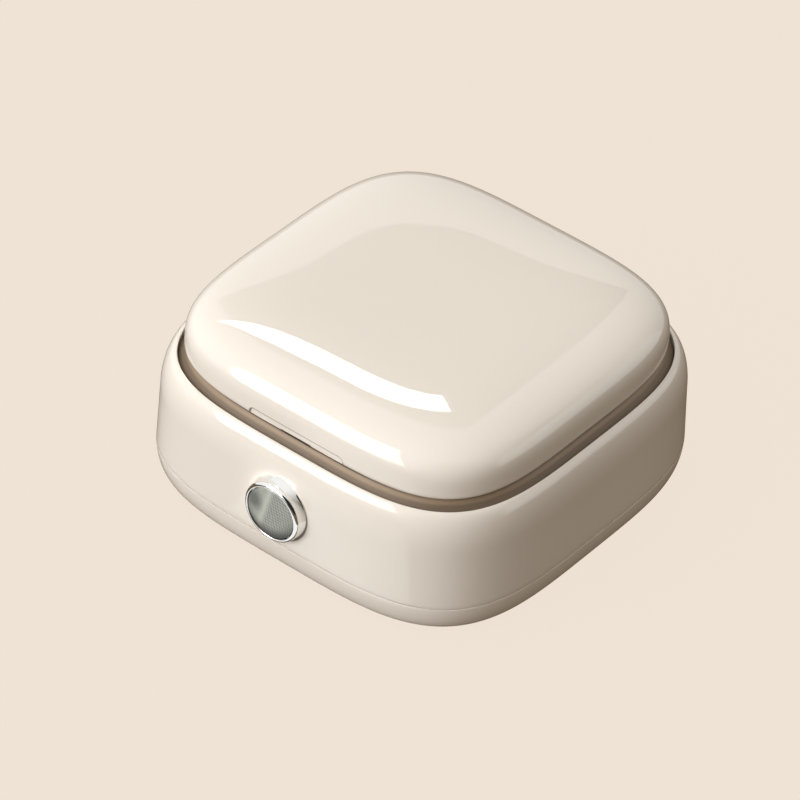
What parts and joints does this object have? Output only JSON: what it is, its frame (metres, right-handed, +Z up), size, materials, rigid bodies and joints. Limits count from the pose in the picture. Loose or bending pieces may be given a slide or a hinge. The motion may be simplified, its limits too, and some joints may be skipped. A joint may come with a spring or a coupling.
{
  "type": "ultrasonic cleaner",
  "caption": "Rounded-square desktop ultrasonic cleaner with a domed hinged lid, a recessed neck ring, a steel tank inside and a round push button on the front.",
  "frame": {"origin": "middle of the overall footprint (button included) on the table under the feet", "axes": "+Z up, the push button looks along -Y, the lid's hinge is at +Y"},
  "size_m": [0.123, 0.126, 0.0564],
  "materials": {
    "cream_shell": "gloss",
    "taupe_plastic": "satin",
    "deep_drawn_steel": "brushed",
    "silicone": "matte",
    "piezo_ceramic": "matte ceramic with fired silver",
    "lead_insulation": "satin",
    "circuit_board": "satin solder mask",
    "ferrite": "matte",
    "capacitor_sleeve": "satin",
    "black_epoxy": "matte",
    "white_nylon": "satin",
    "plated_shell": "plated",
    "bright_ring": "polished",
    "zinc_nut": "zinc plated",
    "satin_disc": "satin",
    "spring_steel": "drawn wire and strip",
    "foot_rubber": "matte",
    "screw_steel": "zinc plated",
    "liner_plastic": "satin",
    "hinge_steel": "satin"
  },
  "bodies": {
    "base": {"base_housing": "cream_shell", "bottom_cover": "cream_shell", "rim_collar": "taupe_plastic", "tank": "deep_drawn_steel", "tank_seal": "silicone", "transducer_disc": "piezo_ceramic", "transducer_leads": "lead_insulation", "driver_board": "circuit_board", "board_inductor": "ferrite", "board_capacitors": "capacitor_sleeve", "board_transistors": "black_epoxy", "board_chips": "black_epoxy", "board_connectors": "white_nylon", "usb_socket": "plated_shell", "button_bezel": "bright_ring", "button_nut": "zinc_nut", "button_spring": "spring_steel", "switch_board": "circuit_board", "tact_switch": "black_epoxy", "switch_lead": "lead_insulation", "rubber_feet": "foot_rubber", "cover_screws": "screw_steel", "board_screws": "screw_steel", "switch_screws": "screw_steel", "hinge_pin": "screw_steel"},
    "lid": {"lid_shell": "cream_shell", "lid_liner": "liner_plastic", "lid_seal": "silicone", "lid_hinge": "hinge_steel", "hinge_screws": "screw_steel", "liner_screws": "screw_steel", "lid_catch": "spring_steel"},
    "button": {"button_cap": "satin_disc", "stem_clip": "spring_steel", "switch_plunger": "black_epoxy"}
  },
  "joints": [
    {"name": "lid_hinge_turn", "type": "hinge", "parent": "base", "child": "lid", "pos_m": [0, 0.0579, 0.0393], "axis": [-1, 0, 0], "range_deg": [0, 100]},
    {"name": "button_press", "type": "slide", "parent": "base", "child": "button", "axis": [0, 1, 0], "range_m": [0, 0.0008], "stiffness_N_per_m": 700, "springref_m": -0.0012, "deforming": ["button_spring"]}
  ]
}
